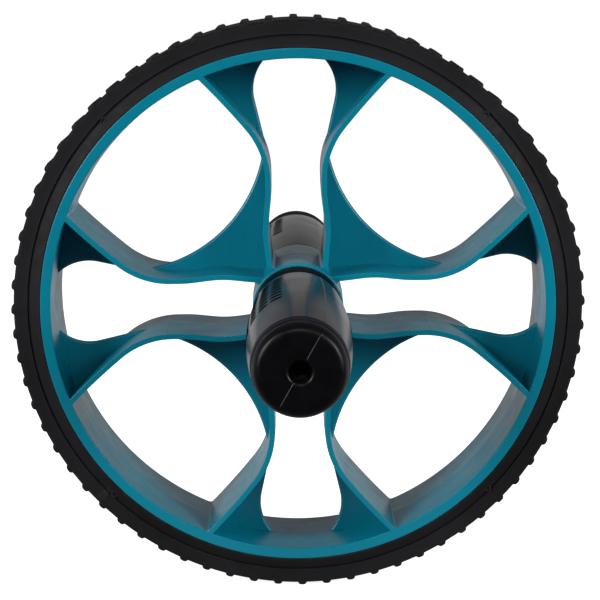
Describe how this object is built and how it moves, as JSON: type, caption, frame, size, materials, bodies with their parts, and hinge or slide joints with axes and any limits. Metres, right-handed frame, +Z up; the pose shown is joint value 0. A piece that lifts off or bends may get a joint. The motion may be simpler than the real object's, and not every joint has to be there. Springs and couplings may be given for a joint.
{
  "type": "abdominal exercise wheel",
  "caption": "Wide spoked exercise wheel with a ribbed rubber tyre, turning on a through axle between two barrel grips.",
  "frame": {"origin": "centre of the wheel, on the axle's axis and the wheel's middle plane", "axes": "+Z up, +Y along the axle towards the rear grip, +X to the right as seen from the front grip"},
  "size_m": [0.201, 0.3018, 0.201],
  "materials": {
    "rim_plastic": "semi-gloss moulded",
    "tyre_rubber": "satin rubber",
    "bush_nylon": "matt",
    "axle_steel": "drawn tube",
    "core_plastic": "semi-gloss",
    "sleeve_plastic": "high gloss",
    "pad_rubber": "matt soft",
    "cap_plastic": "satin",
    "screw_steel": "zinc plated"
  },
  "bodies": {
    "handle_bar": {"axle_tube": "axle_steel", "front_axle_insert": "axle_steel", "rear_axle_insert": "axle_steel", "front_spacer": "bush_nylon", "rear_spacer": "bush_nylon", "front_grip_core": "core_plastic", "rear_grip_core": "core_plastic", "front_grip_sleeve": "sleeve_plastic", "rear_grip_sleeve": "sleeve_plastic", "front_grip_pads": "pad_rubber", "rear_grip_pads": "pad_rubber", "front_end_cap": "cap_plastic", "rear_end_cap": "cap_plastic", "front_screw": "screw_steel", "rear_screw": "screw_steel", "front_screw_washer": "screw_steel", "rear_screw_washer": "screw_steel"},
    "wheel": {"wheel_body": "rim_plastic", "tyre": "tyre_rubber", "front_bush": "bush_nylon", "rear_bush": "bush_nylon"}
  },
  "joints": [
    {"name": "wheel_spin", "type": "hinge", "parent": "handle_bar", "child": "wheel", "pos_m": [0, 0, 0], "axis": [0, 1, 0], "continuous": true}
  ]
}
